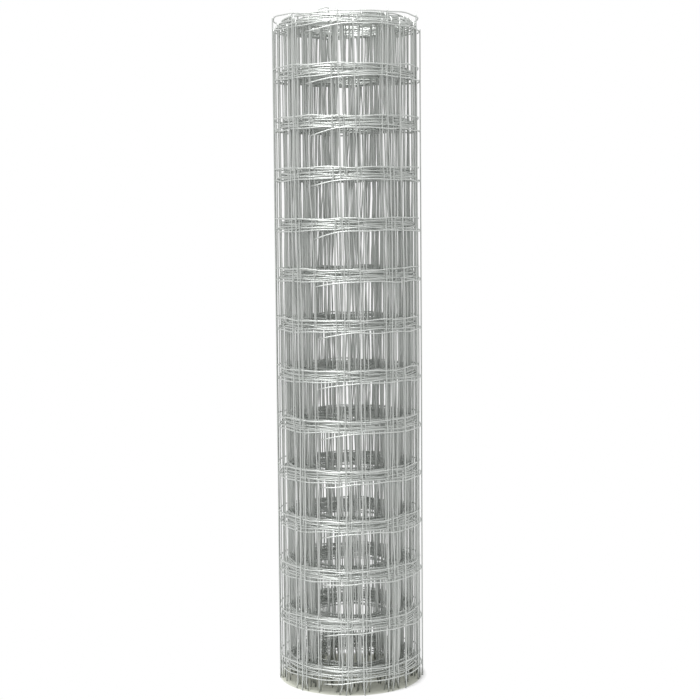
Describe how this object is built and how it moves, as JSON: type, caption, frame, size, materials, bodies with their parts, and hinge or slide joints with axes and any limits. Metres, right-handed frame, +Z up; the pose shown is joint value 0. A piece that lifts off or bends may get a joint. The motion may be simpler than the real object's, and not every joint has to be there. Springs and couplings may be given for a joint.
{
  "type": "welded wire mesh roll",
  "caption": "Standing roll of square welded wire mesh, wound in many turns round an open core, with the cut wire ends standing out at both ends.",
  "frame": {"origin": "on the roll's axis, at the floor under the lower wire ends", "axes": "+Z up along the roll's axis, -Y towards the side that the picture shows, with the free end of the mesh left of its middle"},
  "size_m": [0.2274, 0.2268, 1.022],
  "materials": {
    "galvanised_wire": "dull galvanised zinc"
  },
  "bodies": {
    "root": {"mesh_roll": "galvanised_wire"}
  },
  "joints": []
}
